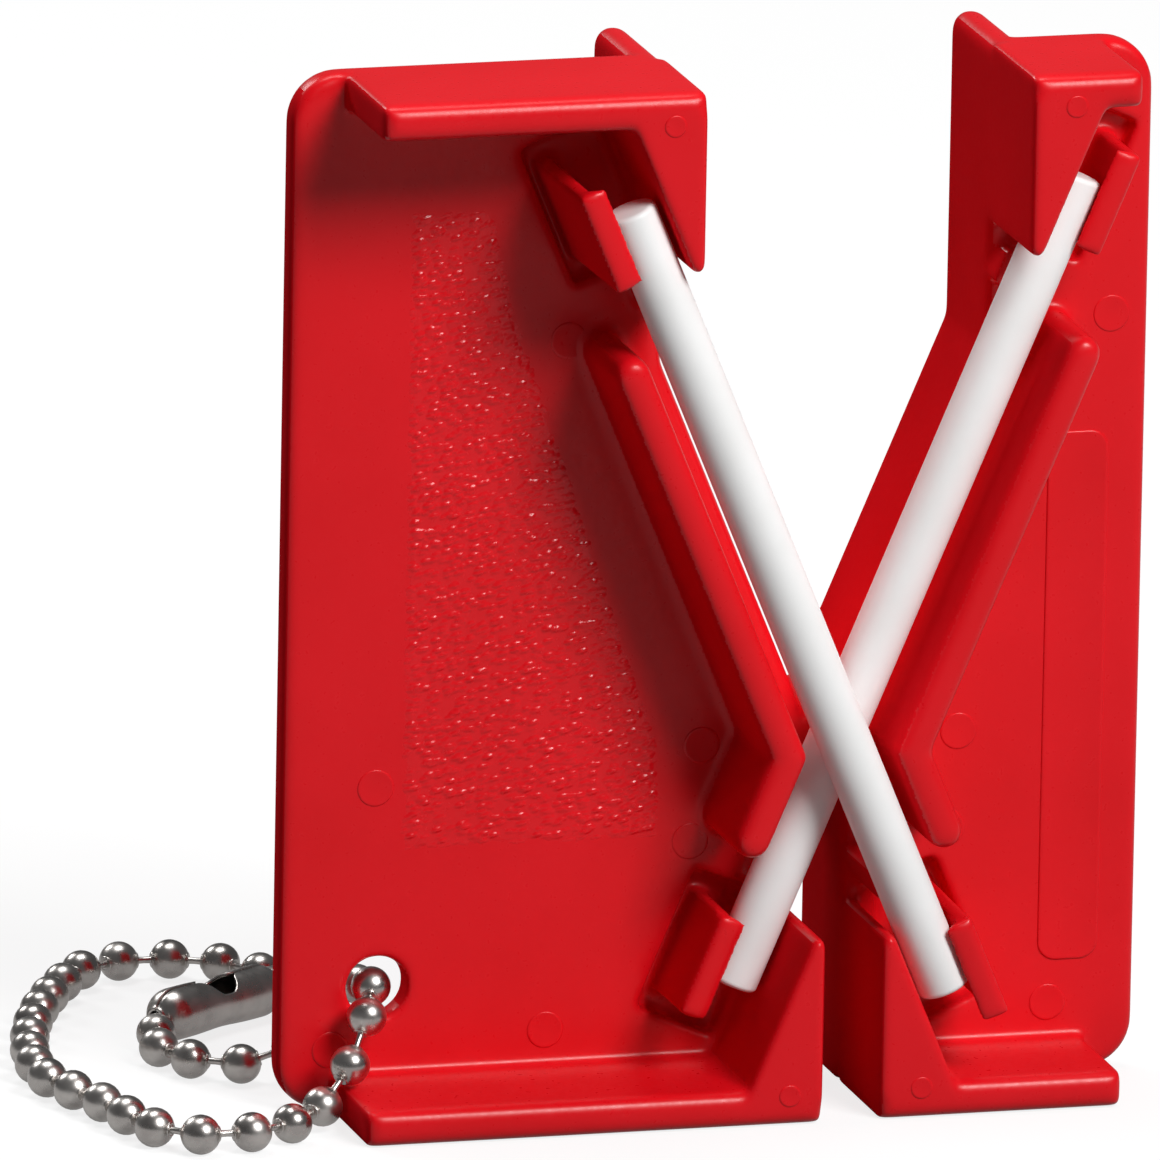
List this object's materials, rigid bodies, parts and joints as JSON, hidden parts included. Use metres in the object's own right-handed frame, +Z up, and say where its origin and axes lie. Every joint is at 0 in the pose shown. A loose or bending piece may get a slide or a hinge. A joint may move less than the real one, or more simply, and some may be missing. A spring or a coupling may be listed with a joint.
{
  "type": "ceramic rod sharpener",
  "caption": "Pocket knife sharpener: crossed ceramic rods snapped into a red moulded holder with a V-shaped blade guide and finger-guard ribs, on a ball-chain loop.",
  "frame": {"origin": "on the ground under the middle of the moulded holder's box, chain left out", "axes": "+X to the right along the front, +Y from the front to the rear, +Z up"},
  "size_m": [0.0668, 0.0419, 0.0635],
  "materials": {
    "red_plastic": "moulded, satin gloss, pebbled thumb panel",
    "white_ceramic": "fine ground, unglazed",
    "nickel": "nickel-plated steel, polished"
  },
  "bodies": {
    "holder": {"holder_body": "red_plastic", "chain_link_01": "nickel", "chain_link_02": "nickel", "chain_link_03": "nickel", "chain_link_04": "nickel", "chain_link_05": "nickel", "chain_link_06": "nickel", "chain_link_07": "nickel", "chain_link_08": "nickel", "chain_link_09": "nickel", "chain_link_10": "nickel", "chain_link_11": "nickel", "chain_link_12": "nickel", "chain_link_13": "nickel", "chain_link_14": "nickel", "chain_link_15": "nickel", "chain_link_16": "nickel", "chain_link_17": "nickel", "chain_link_18": "nickel", "chain_link_19": "nickel", "chain_link_20": "nickel", "chain_link_21": "nickel", "chain_link_22": "nickel", "chain_link_23": "nickel", "chain_link_24": "nickel", "chain_link_25": "nickel", "chain_link_26": "nickel", "chain_link_27": "nickel", "chain_link_28": "nickel", "chain_link_29": "nickel", "chain_link_30": "nickel", "chain_link_31": "nickel", "chain_link_32": "nickel", "chain_link_33": "nickel", "chain_link_34": "nickel", "chain_connector": "nickel"},
    "front_rod": {"front_rod": "white_ceramic"},
    "rear_rod": {"rear_rod": "white_ceramic"}
  },
  "joints": [
    {"name": "front_rod_turn", "type": "hinge", "parent": "holder", "child": "front_rod", "pos_m": [0.00652, -0.00737, 0.02216], "axis": [-0.3875, 0, 0.9219], "continuous": true},
    {"name": "rear_rod_turn", "type": "hinge", "parent": "holder", "child": "rear_rod", "pos_m": [0.00652, -0.00378, 0.02216], "axis": [0.3875, 0, 0.9219], "continuous": true}
  ]
}
